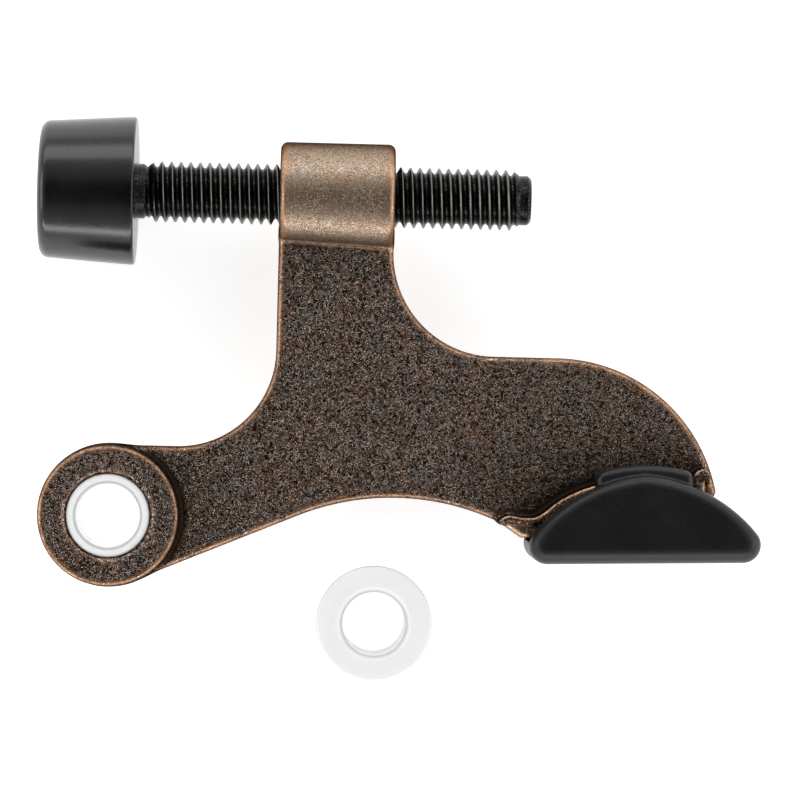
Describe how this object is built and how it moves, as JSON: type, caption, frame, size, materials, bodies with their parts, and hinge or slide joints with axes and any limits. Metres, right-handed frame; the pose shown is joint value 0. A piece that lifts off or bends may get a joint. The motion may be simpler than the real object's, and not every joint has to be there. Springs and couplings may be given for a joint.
{
  "type": "hinge pin door stop",
  "caption": "Hinge-pin door stop: cast body with pin eye and bushing, screw-adjusted rubber bumper, rubber half-moon foot, loose bushing.",
  "frame": {"origin": "centre of the hinge-pin eye, at the plate's mid-plane", "axes": "+Z along the hinge pin, out of the eye's front face; +X along the adjusting screw, away from the bumper; the part lies flat on its bumper and foot"},
  "size_m": [0.0948, 0.0731, 0.0194],
  "materials": {
    "antique_bronze": "satin",
    "black_oxide_steel": "satin",
    "bumper_rubber": "satin",
    "foot_rubber": "matte",
    "nylon": "satin"
  },
  "bodies": {
    "casting": {"cast_body": "antique_bronze", "foot_pad": "foot_rubber", "fitted_bushing": "nylon"},
    "bumper": {"bumper_cap": "bumper_rubber"},
    "screw": {"adjusting_screw": "black_oxide_steel"},
    "spare": {"loose_bushing": "nylon"}
  },
  "joints": [
    {"name": "screw_advance", "type": "slide", "parent": "casting", "child": "bumper", "axis": [1, 0, 0], "range_m": [-0.01605, 0.01705]},
    {"name": "screw_turn", "type": "hinge", "parent": "bumper", "child": "screw", "pos_m": [0, 0.0424, 0], "axis": [1, 0, 0], "range_deg": [-4608, 4896]},
    {"name": "bushing_lift", "type": "slide", "parent": "casting", "child": "spare", "axis": [0, 0, 1], "range_m": [0, 0.02]}
  ],
  "couplings": [
    {"joint": "screw_advance", "follows": "screw_turn", "m_per_rad": 0.00019894}
  ]
}
